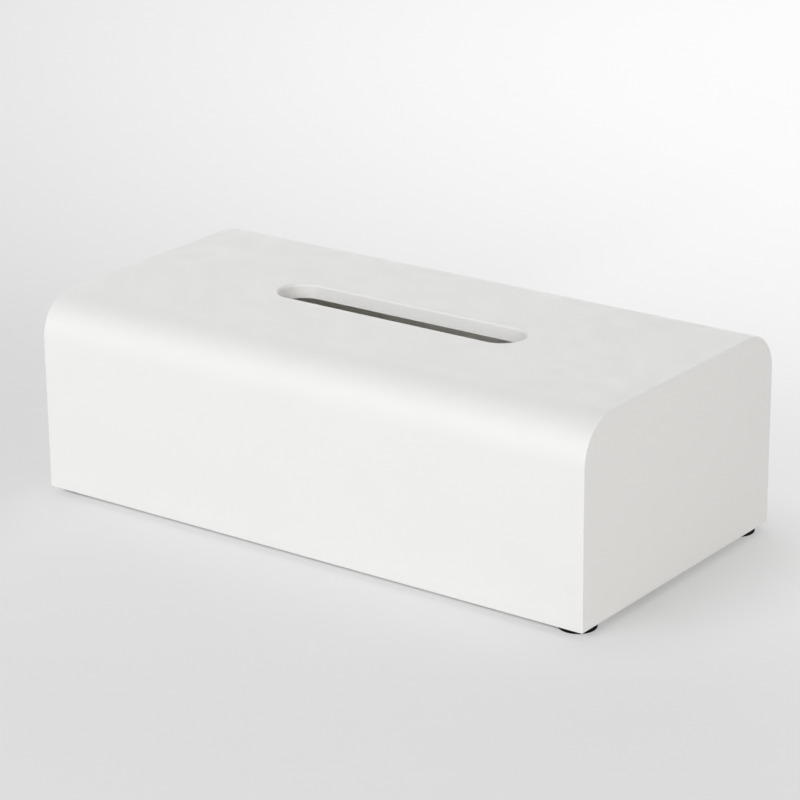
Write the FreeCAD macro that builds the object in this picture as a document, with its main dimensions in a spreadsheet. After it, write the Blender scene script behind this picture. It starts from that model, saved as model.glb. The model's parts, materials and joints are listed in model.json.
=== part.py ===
import FreeCAD, Part
import math
import os
import Sketcher
from FreeCAD import Vector

# Tissue box for a pack of facial tissues: a one-piece moulded cover with a dispensing slot stands
# over a loose base plate on four rubber feet. To refill it, the cover lifts straight off the base.
# Millimetres, +Z up, +X along the length, front towards -Y. The origin is on the surface that the
# box stands on, at the middle of its footprint.

# Driving sizes: alias, value, what it measures.
SIZES = (
    ("case_length", 260.0, "cover, end face to end face"),
    ("case_width", 134.4, "cover, front face to back face"),
    ("cover_height", 81.5, "cover, bottom edge to top face"),
    ("wall", 3.0, "wall of the cover"),
    ("long_edge_radius", 17.5, "big rounding of the two long top edges"),
    ("crisp_edge_radius", 0.4, "small rounding of the cover's other outer edges"),
    ("inner_edge_radius", 1.0, "rounding inside, round the end walls and the rim's root"),
    ("slot_length", 117.2, "dispensing slot, end to end"),
    ("slot_width", 19.8, "dispensing slot, wall to wall"),
    ("slot_setforward", 1.0, "slot's middle, forward of the cover's middle"),
    ("slot_lip_radius", 1.2, "rounding of the slot's upper edge"),
    ("rim_depth", 6.3, "rim round the slot, top face to the rim's lower edge"),
    ("rim_wall", 2.5, "wall of the rim round the slot"),
    ("rim_edge_radius", 0.3, "rounding of the rim's lower edges"),
    ("skirt_lip", 0.8, "thin lip of the cover that hides the base plate's edge"),
    ("base_thickness", 3.0, "base plate"),
    ("base_clearance", 0.15, "gap all round between the base plate and the lip"),
    ("base_corner_radius", 1.0, "corners of the base plate"),
    ("base_edge_radius", 0.3, "rounding of the base plate's upper edge"),
    ("foot_diameter", 14.8, "rubber foot"),
    ("foot_height", 2.5, "rubber foot"),
    ("foot_gap_x", 0.05, "foot's rim from the base plate's end edge"),
    ("foot_gap_y", 1.45, "foot's rim from the base plate's long edge"),
    ("front_left_setback", 2.1, "how much further in the front left foot is stuck"),
    ("foot_edge_radius", 0.4, "rounding of a foot's lower edge"),
)

# Sizes that follow from the driving ones.
CAVITY_LENGTH = "Sizes.case_length - 2 * Sizes.wall"
CAVITY_WIDTH = "Sizes.case_width - 2 * Sizes.wall"
CAVITY_HEIGHT = "Sizes.cover_height - Sizes.wall"
CAVITY_RADIUS = "Sizes.long_edge_radius - Sizes.wall"
RIM_BOTTOM = "Sizes.cover_height - Sizes.rim_depth"
RIM_LENGTH = "Sizes.slot_length + 2 * Sizes.rim_wall"
RIM_WIDTH = "Sizes.slot_width + 2 * Sizes.rim_wall"
SLOT_Y = "-Sizes.slot_setforward"
STEP_LENGTH = "Sizes.case_length - 2 * Sizes.skirt_lip"
STEP_WIDTH = "Sizes.case_width - 2 * Sizes.skirt_lip"
STEP_RADIUS = "Sizes.base_corner_radius + Sizes.base_clearance"
BASE_LENGTH = "Sizes.case_length - 2 * Sizes.skirt_lip - 2 * Sizes.base_clearance"
BASE_WIDTH = "Sizes.case_width - 2 * Sizes.skirt_lip - 2 * Sizes.base_clearance"
FOOT_X = f"({BASE_LENGTH} - Sizes.foot_diameter) / 2 - Sizes.foot_gap_x"
FOOT_Y = f"({BASE_WIDTH} - Sizes.foot_diameter) / 2 - Sizes.foot_gap_y"

NEAR = 0.01    # an edge this close to a plane lies in it

doc = FreeCAD.newDocument("TissueBox")
sheet = doc.addObject("Spreadsheet::Sheet", "Sizes")


def fill_sheet():
    """Write each driving size into the sheet as a plain number with an alias."""
    for row, (alias, value, meaning) in enumerate(SIZES, start=1):
        sheet.set(f"A{row}", meaning)
        sheet.set(f"B{row}", str(value))
        sheet.setAlias(f"B{row}", alias)
    doc.recompute()


def value(expression):
    """What an expression of the sheet's sizes comes to."""
    return float(sheet.evalExpression(expression))


# ---- sketches ------------------------------------------------------------------------------

def new_sketch(body, name, plane_role, lift=None, shift_y=None):
    """Sketch on an origin plane of the body, or lifted off it and shifted in it by expressions."""
    sketch = body.newObject("Sketcher::SketchObject", name)
    plane = next(item for item in body.Origin.OriginFeatures if item.Role == plane_role)
    sketch.AttachmentSupport = [(plane, "")]
    sketch.MapMode = "FlatFace"
    if lift:
        sketch.setExpression(".AttachmentOffset.Base.z", lift)
    if shift_y:
        sketch.setExpression(".AttachmentOffset.Base.y", shift_y)
    return sketch


def add_line(sketch, start, end):
    return sketch.addGeometry(Part.LineSegment(Vector(*start, 0), Vector(*end, 0)), False)


def add_arc(sketch, centre, radius, start_angle, sweep):
    """Arc drawn anticlockwise; the angles are in degrees."""
    circle = Part.Circle(Vector(*centre, 0), Vector(0, 0, 1), radius)
    start = math.radians(start_angle)
    return sketch.addGeometry(Part.ArcOfCircle(circle, start, start + math.radians(sweep)), False)


def constrain(sketch, *kind_and_places):
    return sketch.addConstraint(Sketcher.Constraint(*kind_and_places))


def dimension(sketch, name, expression, kind, *places):
    """Dimension that reads its size from the sheet."""
    index = constrain(sketch, kind, *places, value(expression))
    sketch.renameConstraint(index, name)
    sketch.setExpression(f"Constraints.{name}", expression)


def join_smoothly(sketch, *curves):
    """Join the end of each curve to the start of the next, tangent to it."""
    for curve, following in zip(curves, curves[1:]):
        constrain(sketch, "Tangent", curve, 2, following, 1)


def draw_arch(sketch, width, height, radius):
    """Upright rectangle on the horizontal axis with its two upper corners rounded."""
    half, top, bend = value(width) / 2, value(height), value(radius)
    bottom = add_line(sketch, (-half, 0), (half, 0))
    right = add_line(sketch, (half, 0), (half, top - bend))
    right_bend = add_arc(sketch, (half - bend, top - bend), bend, 0, 90)
    roof = add_line(sketch, (half - bend, top), (bend - half, top))
    left_bend = add_arc(sketch, (bend - half, top - bend), bend, 90, 90)
    left = add_line(sketch, (-half, top - bend), (-half, 0))
    join_smoothly(sketch, right, right_bend, roof, left_bend, left)
    constrain(sketch, "Coincident", bottom, 2, right, 1)
    constrain(sketch, "Coincident", left, 2, bottom, 1)
    constrain(sketch, "Symmetric", bottom, 1, bottom, 2, -2)
    constrain(sketch, "PointOnObject", bottom, 1, -1)
    constrain(sketch, "Vertical", right)
    constrain(sketch, "Vertical", left)
    constrain(sketch, "Horizontal", roof)
    constrain(sketch, "Equal", right_bend, left_bend)
    dimension(sketch, "width", width, "DistanceX", bottom, 1, bottom, 2)
    dimension(sketch, "height", height, "DistanceY", bottom, 2, roof, 1)
    dimension(sketch, "bend", radius, "Radius", right_bend)


def draw_stadium(sketch, length, width):
    """Slot outline with round ends, centred on the sketch's origin."""
    radius = value(width) / 2
    half = value(length) / 2 - radius
    front = add_line(sketch, (-half, -radius), (half, -radius))
    right_end = add_arc(sketch, (half, 0), radius, -90, 180)
    back = add_line(sketch, (half, radius), (-half, radius))
    left_end = add_arc(sketch, (-half, 0), radius, 90, 180)
    join_smoothly(sketch, front, right_end, back, left_end, front)
    constrain(sketch, "Symmetric", left_end, 3, right_end, 3, -1, 1)
    constrain(sketch, "Horizontal", front)
    constrain(sketch, "Equal", left_end, right_end)
    dimension(sketch, "end_radius", f"({width}) / 2", "Radius", right_end)
    dimension(sketch, "centres", f"{length} - ({width})", "DistanceX", left_end, 3, right_end, 3)


def draw_rounded_rectangle(sketch, length, width, radius):
    """Rectangle with equal round corners, centred on the sketch's origin."""
    half_x, half_y, bend = value(length) / 2, value(width) / 2, value(radius)
    in_x, in_y = half_x - bend, half_y - bend
    front = add_line(sketch, (-in_x, -half_y), (in_x, -half_y))
    corner_1 = add_arc(sketch, (in_x, -in_y), bend, -90, 90)
    right = add_line(sketch, (half_x, -in_y), (half_x, in_y))
    corner_2 = add_arc(sketch, (in_x, in_y), bend, 0, 90)
    back = add_line(sketch, (in_x, half_y), (-in_x, half_y))
    corner_3 = add_arc(sketch, (-in_x, in_y), bend, 90, 90)
    left = add_line(sketch, (-half_x, in_y), (-half_x, -in_y))
    corner_4 = add_arc(sketch, (-in_x, -in_y), bend, 180, 90)
    join_smoothly(sketch, front, corner_1, right, corner_2, back, corner_3, left, corner_4, front)
    for flat in (front, back):
        constrain(sketch, "Horizontal", flat)
    for upright in (right, left):
        constrain(sketch, "Vertical", upright)
    for corner in (corner_2, corner_3, corner_4):
        constrain(sketch, "Equal", corner_1, corner)
    constrain(sketch, "Symmetric", corner_4, 3, corner_2, 3, -1, 1)
    dimension(sketch, "length", length, "DistanceX", left, 1, right, 1)
    dimension(sketch, "width", width, "DistanceY", front, 1, back, 1)
    dimension(sketch, "corner", radius, "Radius", corner_1)


def draw_circle(sketch, diameter):
    """Circle round the sketch's origin."""
    radius = value(diameter) / 2
    circle = sketch.addGeometry(Part.Circle(Vector(0, 0, 0), Vector(0, 0, 1), radius), False)
    constrain(sketch, "Coincident", circle, 3, -1, 1)
    dimension(sketch, "radius", f"{diameter} / 2", "Radius", circle)


# ---- features ------------------------------------------------------------------------------

def new_body(label):
    body = doc.addObject("PartDesign::Body", label)
    body.Label = label
    return body


def add_pad(body, name, sketch, length, side="One side"):
    pad = body.newObject("PartDesign::Pad", name)
    pad.Profile = sketch
    pad.SideType = side
    pad.setExpression("Length", length)
    doc.recompute()
    return pad


def add_pocket(body, name, sketch, length, side="One side"):
    """Cut a pocket that grows towards the sketch's normal, or both ways."""
    volume_before = body.Shape.Volume
    pocket = body.newObject("PartDesign::Pocket", name)
    pocket.Profile = sketch
    pocket.SideType = side
    pocket.Reversed = side == "One side"
    pocket.setExpression("Length", length)
    doc.recompute()
    if body.Shape.Volume > volume_before - NEAR:
        raise RuntimeError(f"{name} cuts nothing")
    return pocket


def add_fillet(body, name, feature, radius, belongs):
    """Round the edges of the feature for which belongs(edge) is true."""
    edges = [f"Edge{number}" for number, edge in enumerate(feature.Shape.Edges, start=1) if belongs(edge)]
    fillet = body.newObject("PartDesign::Fillet", name)
    fillet.Base = (feature, edges)
    fillet.setExpression("Radius", radius)
    doc.recompute()
    return fillet


def lies_at_x(edge, distance):
    """The edge lies in one of the two planes at this distance from the middle, across X."""
    box = edge.BoundBox
    return box.XLength < NEAR and abs(abs(box.XMin) - distance) < NEAR


def lies_at_z(edge, height):
    box = edge.BoundBox
    return box.ZLength < NEAR and abs(box.ZMin - height) < NEAR


def lies_within(edge, length, width, middle_y):
    """The edge stays inside an upright prism of this length and width, with its middle at X 0."""
    box = edge.BoundBox
    reach_x = max(abs(box.XMin), abs(box.XMax))
    reach_y = max(abs(box.YMin - middle_y), abs(box.YMax - middle_y))
    return reach_x < length / 2 + NEAR and reach_y < width / 2 + NEAR


# ---- pieces --------------------------------------------------------------------------------

def make_cover():
    """Cover: one moulding, open below, with a slot in its top and a step round its bottom edge."""
    body = new_body("cover")
    body.setExpression(".Placement.Base.z", "Sizes.foot_height")

    outline = new_sketch(body, "CoverOutline", "YZ_Plane")
    draw_arch(outline, "Sizes.case_width", "Sizes.cover_height", "Sizes.long_edge_radius")
    block = add_pad(body, "CoverBlock", outline, "Sizes.case_length", "Symmetric")
    half_length = value("Sizes.case_length") / 2
    add_fillet(body, "CrispEdges", block, "Sizes.crisp_edge_radius",
               lambda edge: lies_at_x(edge, half_length) or lies_at_z(edge, 0))

    inside = new_sketch(body, "CavityOutline", "YZ_Plane")
    draw_arch(inside, CAVITY_WIDTH, CAVITY_HEIGHT, CAVITY_RADIUS)
    cavity = add_pocket(body, "Cavity", inside, CAVITY_LENGTH, "Symmetric")
    half_cavity = value(CAVITY_LENGTH) / 2
    add_fillet(body, "CavityEdges", cavity, "Sizes.inner_edge_radius",
               lambda edge: lies_at_x(edge, half_cavity) and not lies_at_z(edge, 0))

    step = new_sketch(body, "StepOutline", "XY_Plane")
    draw_rounded_rectangle(step, STEP_LENGTH, STEP_WIDTH, STEP_RADIUS)
    add_pocket(body, "BaseStep", step, "Sizes.base_thickness")

    add_slot(body)
    return body


def add_slot(body):
    """Slot through the cover's top, with a rounded upper edge and a rim hanging round it."""
    rim_outline = new_sketch(body, "RimOutline", "XY_Plane", RIM_BOTTOM, SLOT_Y)
    draw_stadium(rim_outline, RIM_LENGTH, RIM_WIDTH)
    rim = add_pad(body, "SlotRim", rim_outline, "Sizes.rim_depth - Sizes.wall / 2")
    ceiling, middle_y = value(CAVITY_HEIGHT), value(SLOT_Y)
    rim_prism = value(RIM_LENGTH), value(RIM_WIDTH), middle_y
    add_fillet(body, "RimRoot", rim, "Sizes.inner_edge_radius",
               lambda edge: lies_at_z(edge, ceiling) and lies_within(edge, *rim_prism))

    slot_outline = new_sketch(body, "SlotOutline", "XY_Plane", RIM_BOTTOM, SLOT_Y)
    draw_stadium(slot_outline, "Sizes.slot_length", "Sizes.slot_width")
    slot = add_pocket(body, "Slot", slot_outline, "Sizes.rim_depth")
    slot_prism = value("Sizes.slot_length"), value("Sizes.slot_width"), middle_y
    top, rim_bottom = value("Sizes.cover_height"), value(RIM_BOTTOM)
    lip = add_fillet(body, "SlotLip", slot, "Sizes.slot_lip_radius",
                     lambda edge: lies_at_z(edge, top) and lies_within(edge, *slot_prism))
    add_fillet(body, "RimEdges", lip, "Sizes.rim_edge_radius", lambda edge: lies_at_z(edge, rim_bottom))


def make_base_plate():
    """Base plate: a flat plate that fills the step in the cover and carries it."""
    body = new_body("base_plate")
    body.setExpression(".Placement.Base.z", "Sizes.foot_height")
    outline = new_sketch(body, "PlateOutline", "XY_Plane")
    draw_rounded_rectangle(outline, BASE_LENGTH, BASE_WIDTH, "Sizes.base_corner_radius")
    plate = add_pad(body, "Plate", outline, "Sizes.base_thickness")
    top = value("Sizes.base_thickness")
    add_fillet(body, "PlateTopEdge", plate, "Sizes.base_edge_radius", lambda edge: lies_at_z(edge, top))
    return body


def make_foot(label, place_x, place_y):
    """Foot: a rubber disc stuck under one corner of the base plate."""
    body = new_body(label)
    body.setExpression(".Placement.Base.x", place_x)
    body.setExpression(".Placement.Base.y", place_y)
    outline = new_sketch(body, f"{label}_outline", "XY_Plane")
    draw_circle(outline, "Sizes.foot_diameter")
    disc = add_pad(body, f"{label}_disc", outline, "Sizes.foot_height")
    add_fillet(body, f"{label}_edge", disc, "Sizes.foot_edge_radius", lambda edge: lies_at_z(edge, 0))
    return body


def check_document(bodies):
    """Stop before anything is written if a feature failed or a piece isn't one sound solid."""
    for item in doc.Objects:
        if "Invalid" in item.State or "Error" in item.State:
            raise RuntimeError(f"{item.Label}: {item.State}")
        if item.TypeId == "Sketcher::SketchObject" and not item.FullyConstrained:
            raise RuntimeError(f"{item.Label} isn't fully constrained")
    for body in bodies:
        if body.Shape.isNull() or not body.Shape.isValid() or len(body.Shape.Solids) != 1:
            raise RuntimeError(f"{body.Label} isn't one valid solid")


def main():
    fill_sheet()
    bodies = [
        make_cover(),
        make_base_plate(),
        make_foot("foot_front_left", f"-({FOOT_X})", f"Sizes.front_left_setback - ({FOOT_Y})"),
        make_foot("foot_front_right", FOOT_X, f"-({FOOT_Y})"),
        make_foot("foot_back_left", f"-({FOOT_X})", FOOT_Y),
        make_foot("foot_back_right", FOOT_X, FOOT_Y),
    ]
    doc.recompute()
    check_document(bodies)
    os.makedirs("parts", exist_ok=True)
    for body in bodies:
        body.Shape.exportStep(f"parts/{body.Label}.step")
        print(f"{body.Label}: {body.Shape.Volume:.1f} mm3")


main()
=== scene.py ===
import json
import math
import bmesh
import bpy
from mathutils import Matrix, Vector


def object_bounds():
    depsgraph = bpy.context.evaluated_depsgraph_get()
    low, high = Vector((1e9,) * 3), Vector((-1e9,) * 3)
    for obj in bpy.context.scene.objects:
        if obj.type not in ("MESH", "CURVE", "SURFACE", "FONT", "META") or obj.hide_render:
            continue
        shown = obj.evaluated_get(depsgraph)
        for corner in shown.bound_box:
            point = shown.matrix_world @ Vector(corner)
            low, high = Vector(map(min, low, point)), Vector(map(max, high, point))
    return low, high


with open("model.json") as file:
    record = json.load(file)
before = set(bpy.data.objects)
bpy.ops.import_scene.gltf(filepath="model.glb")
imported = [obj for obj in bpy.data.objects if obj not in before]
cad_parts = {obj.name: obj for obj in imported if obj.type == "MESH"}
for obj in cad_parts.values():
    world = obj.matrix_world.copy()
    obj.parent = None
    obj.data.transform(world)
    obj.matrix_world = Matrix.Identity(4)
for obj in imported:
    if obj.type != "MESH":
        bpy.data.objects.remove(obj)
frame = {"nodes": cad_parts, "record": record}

# Looks of the tissue box: a matt white moulded cover over a white base plate on four black rubber
# feet, on a pale floor under soft studio light. Metres, in the frame of the CAD model.

CAD_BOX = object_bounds()

# Camera: where it stands, how it is turned (degrees) and its lens on the sensor's width (mm).
CAMERA_PLACE = (0.6843, -0.9296, 0.4584)
CAMERA_AZIMUTH = 36.396
CAMERA_ELEVATION = 19.623
CAMERA_ROLL = -0.518
CAMERA_LENS = 138.13
SENSOR_WIDTH = 36.0

# Softboxes: name, azimuth from the front and elevation (degrees), distance, width, height (m),
# power (W) and colour. Azimuths grow anticlockwise seen from above; the camera stands at about 36.
NEUTRAL = (1, 1, 1)
COOL = (0.967, 0.979, 1)
WARM = (1, 0.977, 0.948)
SOFTBOXES = (
    ("left_strip", -20, 27, 1.6, 1.0, 0.4, 9.45, COOL),
    ("front_strip", 20, 27, 1.6, 1.0, 0.4, 3.43, COOL),
    ("right_fill", 65, 14, 2.2, 1.65, 0.96, 16.5, WARM),
    ("backdrop_bounce", 180, 15, 1.9, 2.6, 0.9, 8.5, NEUTRAL),
    ("back_left_fill", -135, 30, 1.6, 1.2, 1.0, 6.85, NEUTRAL),
)
LIGHT_TARGET = Vector((0, 0, 0.04))
WORLD_STRENGTH = 0.211
# The pale backdrop as the camera and reflections see it, which adds no other light to the box.
BACKDROP_STRENGTH = 0.85
# White insides are lit by light that has bounced between their walls many times.
BOUNCES = 32

# The floor's own glow, which stands for the lit backdrop that it curves up into: where it is
# centred, and the radii at which it has its full share of the floor's look and has faded away.
GLOW_CENTRE = (-0.015, 0.871)
GLOW_FULL_RADIUS = 0.262
GLOW_FADED_RADIUS = 1.179
GLOW_FULL_SHARE = 0.929
# The share that is left to the left and to the right, and where along X it changes. The smaller
# share to the left is painted shade on the floor there.
GLOW_LEFT_SHARE = 0.181
GLOW_RIGHT_SHARE = 0.401
GLOW_CHANGE_X = (-0.153, -0.091)
# Painted shade on the paper along the box's right end, where part of that glow is taken away: the
# middle of that strip, half its length along Y, how far from it the paper is shaded and the share
# lost on it.
END_SHADE_CENTRE = (0.117, 0.007)
END_SHADE_HALF_LENGTH = 0.031
END_SHADE_REACH = 0.07
END_SHADE = 0.291
# Far from the box the floor blends into the backdrop: the radii from the box between which it does,
# and the share there.
FAR_RADII = (1.05, 1.6)
FAR_SHARE = 0.81
# Painted shade under the box, where the glow is taken away: how far in from the box's sides it
# starts to fail and has failed, and how much of it is left.
UNDER_BOX_DEPTH = (0.0028, 0.0045)
UNDER_BOX_LEFT = 0.35
# Half the length of the floor's side.
FLOOR_REACH = 4

# Base colours, linear: shades of each material lie around or between these.
COVER_WHITE = (0.947, 0.942, 0.925)
BASE_WHITE = (0.937, 0.932, 0.916)
RUBBER_BLACKS = ((0.004, 0.004, 0.0045), (0.008, 0.008, 0.0085))
PAPER_WHITES = ((0.716, 0.716, 0.716), (0.724, 0.724, 0.724))
# How far the plastic's mottle goes to either side of its colour.
MOTTLE = 0.006
# Size of the plastic's surface grain (m).
COVER_GRAIN = 0.0005
BASE_GRAIN = 0.0007
NOISE_REACH = (0.3, 0.7)    # noise seldom leaves this range


def direction(azimuth, elevation):
    """Unit vector from the box towards a place, from its azimuth and elevation in degrees."""
    a, e = math.radians(azimuth), math.radians(elevation)
    return Vector((math.sin(a) * math.cos(e), -math.cos(a) * math.cos(e), math.sin(e)))


def add_camera():
    back = direction(CAMERA_AZIMUTH, CAMERA_ELEVATION)
    level = back.to_track_quat("Z", "Y").to_matrix().to_4x4()
    roll = Matrix.Rotation(math.radians(CAMERA_ROLL), 4, "Z")
    data = bpy.data.cameras.new("camera")
    data.sensor_width = SENSOR_WIDTH
    data.lens = CAMERA_LENS
    camera = bpy.data.objects.new("camera", data)
    camera.matrix_world = Matrix.Translation(CAMERA_PLACE) @ level @ roll
    bpy.context.scene.collection.objects.link(camera)
    bpy.context.scene.camera = camera


def add_softbox(name, azimuth, elevation, distance, width, height, power, colour):
    place = LIGHT_TARGET + distance * direction(azimuth, elevation)
    data = bpy.data.lights.new(name, "AREA")
    data.shape = "RECTANGLE"
    data.size, data.size_y = width, height
    data.energy = power
    data.color = colour
    light = bpy.data.objects.new(name, data)
    light.location = place
    light.rotation_euler = (LIGHT_TARGET - place).to_track_quat("-Z", "Y").to_euler()
    bpy.context.scene.collection.objects.link(light)


def maths(nodes, links, operation, *values):
    """Result of a Math node on sockets or plain numbers."""
    node = nodes.new("ShaderNodeMath")
    node.operation = operation
    for socket, given in zip(node.inputs, values):
        if isinstance(given, bpy.types.NodeSocket):
            links.new(given, socket)
        else:
            socket.default_value = given
    return node.outputs["Value"]


def vector_maths(nodes, links, operation, vector, other=None):
    """Vector Math node on a socket and, if one is given, a constant vector."""
    node = nodes.new("ShaderNodeVectorMath")
    node.operation = operation
    links.new(vector, node.inputs[0])
    if other:
        node.inputs[1].default_value = other
    return node


def map_range(nodes, links, value, source, target, interpolation="LINEAR"):
    """Result of a Map Range node that takes the source pair of numbers to the target pair."""
    node = nodes.new("ShaderNodeMapRange")
    node.interpolation_type = interpolation
    for name, number in zip(("From Min", "From Max", "To Min", "To Max"), (*source, *target)):
        node.inputs[name].default_value = number
    links.new(value, node.inputs["Value"])
    return node.outputs["Result"]


def seen_ray(nodes, links):
    """1 on rays from the camera and on reflected and transmitted rays, else 0."""
    path = nodes.new("ShaderNodeLightPath").outputs
    mirrored = maths(nodes, links, "MAXIMUM", path["Is Glossy Ray"], path["Is Transmission Ray"])
    return maths(nodes, links, "MAXIMUM", path["Is Camera Ray"], mirrored)


def set_world():
    world = bpy.data.worlds.new("world")
    bpy.context.scene.world = world
    world.use_nodes = True
    nodes, links = world.node_tree.nodes, world.node_tree.links
    strengths = (WORLD_STRENGTH, BACKDROP_STRENGTH)
    strength = map_range(nodes, links, seen_ray(nodes, links), (0, 1), strengths)
    nodes["Background"].inputs["Color"].default_value = (*NEUTRAL, 1)
    links.new(strength, nodes["Background"].inputs["Strength"])


class Material:
    """A Principled material and short calls for the nodes that drive it."""

    def __init__(self, name):
        self.data = bpy.data.materials.new(name)
        self.data.use_nodes = True
        self.nodes = self.data.node_tree.nodes
        self.links = self.data.node_tree.links
        self.shader = self.nodes["Principled BSDF"]
        self.place = self.nodes.new("ShaderNodeTexCoord").outputs["Object"]

    def noise(self, size, detail=2.0, roughness=0.5):
        """Noise whose blotches are about this many metres across."""
        node = self.nodes.new("ShaderNodeTexNoise")
        node.inputs["Scale"].default_value = 1 / size
        node.inputs["Detail"].default_value = detail
        node.inputs["Roughness"].default_value = roughness
        self.links.new(self.place, node.inputs["Vector"])
        return node.outputs["Fac"]

    def colour_between(self, factor, first, second):
        """Colour that runs from first to second as the factor runs over noise's usual reach."""
        ramp = self.nodes.new("ShaderNodeValToRGB")
        ramp.color_ramp.elements[0].position = NOISE_REACH[0]
        ramp.color_ramp.elements[1].position = NOISE_REACH[1]
        ramp.color_ramp.elements[0].color = (*first, 1)
        ramp.color_ramp.elements[1].color = (*second, 1)
        self.links.new(factor, ramp.inputs["Fac"])
        self.links.new(ramp.outputs["Color"], self.shader.inputs["Base Color"])

    def roughness_between(self, factor, low, high):
        roughness = map_range(self.nodes, self.links, factor, NOISE_REACH, (low, high))
        self.links.new(roughness, self.shader.inputs["Roughness"])

    def bump(self, height, depth, under=None):
        """Bump of this depth in metres, on top of another bump if one is given."""
        node = self.nodes.new("ShaderNodeBump")
        node.inputs["Distance"].default_value = depth
        self.links.new(height, node.inputs["Height"])
        if under:
            self.links.new(under, node.inputs["Normal"])
        self.links.new(node.outputs["Normal"], self.shader.inputs["Normal"])
        return node.outputs["Normal"]


def moulded_plastic(name, shade, grain):
    """Matt white plastic: spark-eroded grain, a faint orange peel and a hardly visible mottle."""
    material = Material(name)
    lighter = tuple(min(1.0, channel * (1 + MOTTLE)) for channel in shade)
    darker = tuple(channel * (1 - MOTTLE) for channel in shade)
    material.colour_between(material.noise(0.03, detail=4), darker, lighter)
    material.roughness_between(material.noise(0.008, detail=3), 0.52, 0.6)
    peel = material.bump(material.noise(0.004), 0.00001)
    material.bump(material.noise(grain, detail=3, roughness=0.6), 0.00003, under=peel)
    return material.data


def rubber():
    """Black rubber, finely pitted, a little dusty in patches."""
    material = Material("rubber")
    material.colour_between(material.noise(0.003, detail=5), *RUBBER_BLACKS)
    material.shader.inputs["Specular IOR Level"].default_value = 0.08
    material.roughness_between(material.noise(0.002, detail=3), 0.68, 0.82)
    material.bump(material.noise(0.0004, detail=3), 0.00005)
    return material.data


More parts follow.
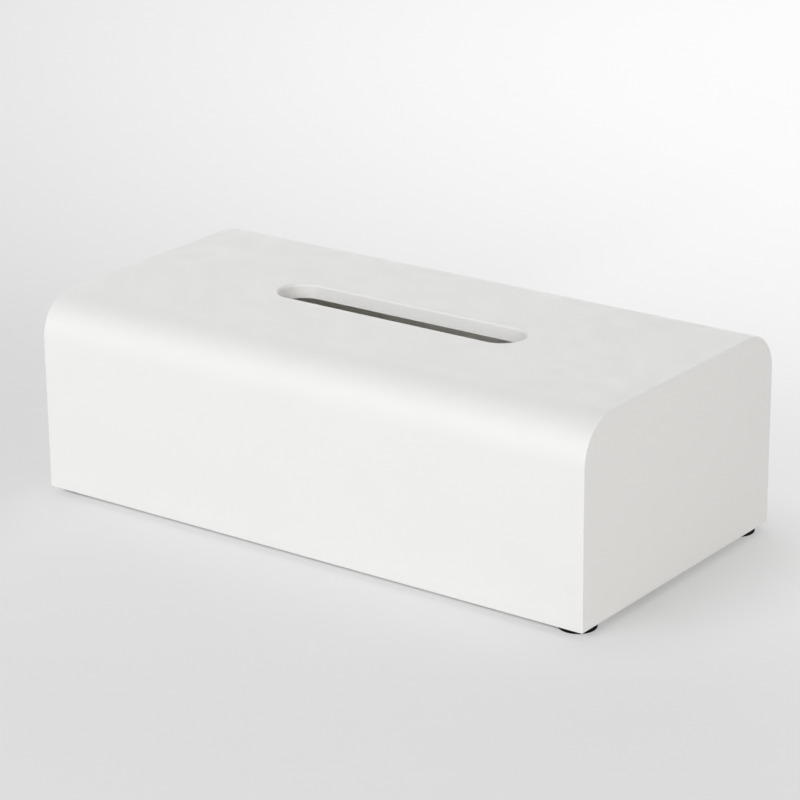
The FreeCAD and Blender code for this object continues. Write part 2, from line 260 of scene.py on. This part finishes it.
def floor_paper():
    """Pale matt paper. To the camera and in reflections it also glows, as a lit backdrop does; a
    weaker glow to the left, along the box's right end and under the box is painted shade.
    """
    material = Material("floor_paper")
    material.colour_between(material.noise(0.05, detail=4), *PAPER_WHITES)
    material.roughness_between(material.noise(0.02), 0.86, 0.94)
    nodes, links = material.nodes, material.links

    # The share of white light that the glow makes of what is seen.
    parts = nodes.new("ShaderNodeSeparateXYZ")
    links.new(material.place, parts.inputs["Vector"])
    shares = (GLOW_LEFT_SHARE, GLOW_RIGHT_SHARE)
    least = map_range(nodes, links, parts.outputs["X"], GLOW_CHANGE_X, shares, "SMOOTHSTEP")
    centre = (*GLOW_CENTRE, 0)
    away = vector_maths(nodes, links, "DISTANCE", material.place, centre).outputs["Value"]
    fade = (GLOW_FADED_RADIUS, GLOW_FULL_RADIUS)
    glow = map_range(nodes, links, away, fade, (0, 1), "SMOOTHSTEP")
    room = maths(nodes, links, "SUBTRACT", GLOW_FULL_SHARE, least)
    share = maths(nodes, links, "MULTIPLY_ADD", glow, room, least)

    # Far from the box it runs into the backdrop's.
    away = vector_maths(nodes, links, "LENGTH", material.place).outputs["Value"]
    far = map_range(nodes, links, away, FAR_RADII, (0, 1), "SMOOTHSTEP")
    room = maths(nodes, links, "SUBTRACT", FAR_SHARE, share)
    share = maths(nodes, links, "MULTIPLY_ADD", far, room, share)

    # Painted shade: some of the glow is taken away near the strip along the right end.
    middle = (*END_SHADE_CENTRE, 0)
    apart = vector_maths(nodes, links, "SUBTRACT", material.place, middle).outputs["Vector"]
    apart = vector_maths(nodes, links, "ABSOLUTE", apart).outputs["Vector"]
    half_strip = (0, END_SHADE_HALF_LENGTH, 0)
    past = vector_maths(nodes, links, "SUBTRACT", apart, half_strip).outputs["Vector"]
    past = vector_maths(nodes, links, "MAXIMUM", past, (0, 0, 0)).outputs["Vector"]
    reach = vector_maths(nodes, links, "LENGTH", past).outputs["Value"]
    painted_end_shade = map_range(nodes, links, reach, (END_SHADE_REACH, 0), (0, END_SHADE), "SMOOTHSTEP")
    share = maths(nodes, links, "SUBTRACT", share, painted_end_shade)

    # Painted shade under the box: more glow is taken away by how far in from its nearest side a
    # place is.
    half_box = (CAD_BOX[1][0], CAD_BOX[1][1], 0)
    apart = vector_maths(nodes, links, "ABSOLUTE", material.place).outputs["Vector"]
    past = vector_maths(nodes, links, "SUBTRACT", apart, half_box).outputs["Vector"]
    sides = nodes.new("ShaderNodeSeparateXYZ")
    links.new(past, sides.inputs["Vector"])
    nearest = maths(nodes, links, "MAXIMUM", sides.outputs["X"], sides.outputs["Y"])
    depths = (-UNDER_BOX_DEPTH[1], -UNDER_BOX_DEPTH[0])
    painted_under_box_shade_factor = map_range(nodes, links, nearest, depths, (UNDER_BOX_LEFT, 1), "SMOOTHSTEP")
    share = maths(nodes, links, "MULTIPLY", share, painted_under_box_shade_factor)

    # Of what is seen, the share is white light and the rest is the lit paper.
    emission = nodes.new("ShaderNodeEmission")
    mix = nodes.new("ShaderNodeMixShader")
    links.new(maths(nodes, links, "MULTIPLY", share, seen_ray(nodes, links)), mix.inputs["Fac"])
    links.new(material.shader.outputs["BSDF"], mix.inputs[1])
    links.new(emission.outputs["Emission"], mix.inputs[2])
    links.new(mix.outputs["Shader"], nodes["Material Output"].inputs["Surface"])
    return material.data


def dress(node, material):
    mesh = frame["nodes"][node].data
    mesh.materials.clear()
    mesh.materials.append(material)


def add_floor():
    mesh = bpy.data.meshes.new("floor")
    built = bmesh.new()
    bmesh.ops.create_grid(built, x_segments=1, y_segments=1, size=FLOOR_REACH)
    built.to_mesh(mesh)
    built.free()
    mesh.materials.append(floor_paper())
    floor = bpy.data.objects.new("floor", mesh)
    bpy.context.scene.collection.objects.link(floor)


add_camera()
dress("cover", moulded_plastic("cover_plastic", COVER_WHITE, COVER_GRAIN))
dress("base_plate", moulded_plastic("base_plastic", BASE_WHITE, BASE_GRAIN))
foot_rubber = rubber()
for node in frame["record"]["behaviour"]["bodies"]["base"]:
    if node.startswith("foot"):
        dress(node, foot_rubber)
add_floor()
for softbox in SOFTBOXES:
    add_softbox(*softbox)
set_world()
bpy.context.scene.cycles.max_bounces = BOUNCES
bpy.context.scene.cycles.diffuse_bounces = BOUNCES
bpy.context.scene.view_settings.view_transform = "Standard"
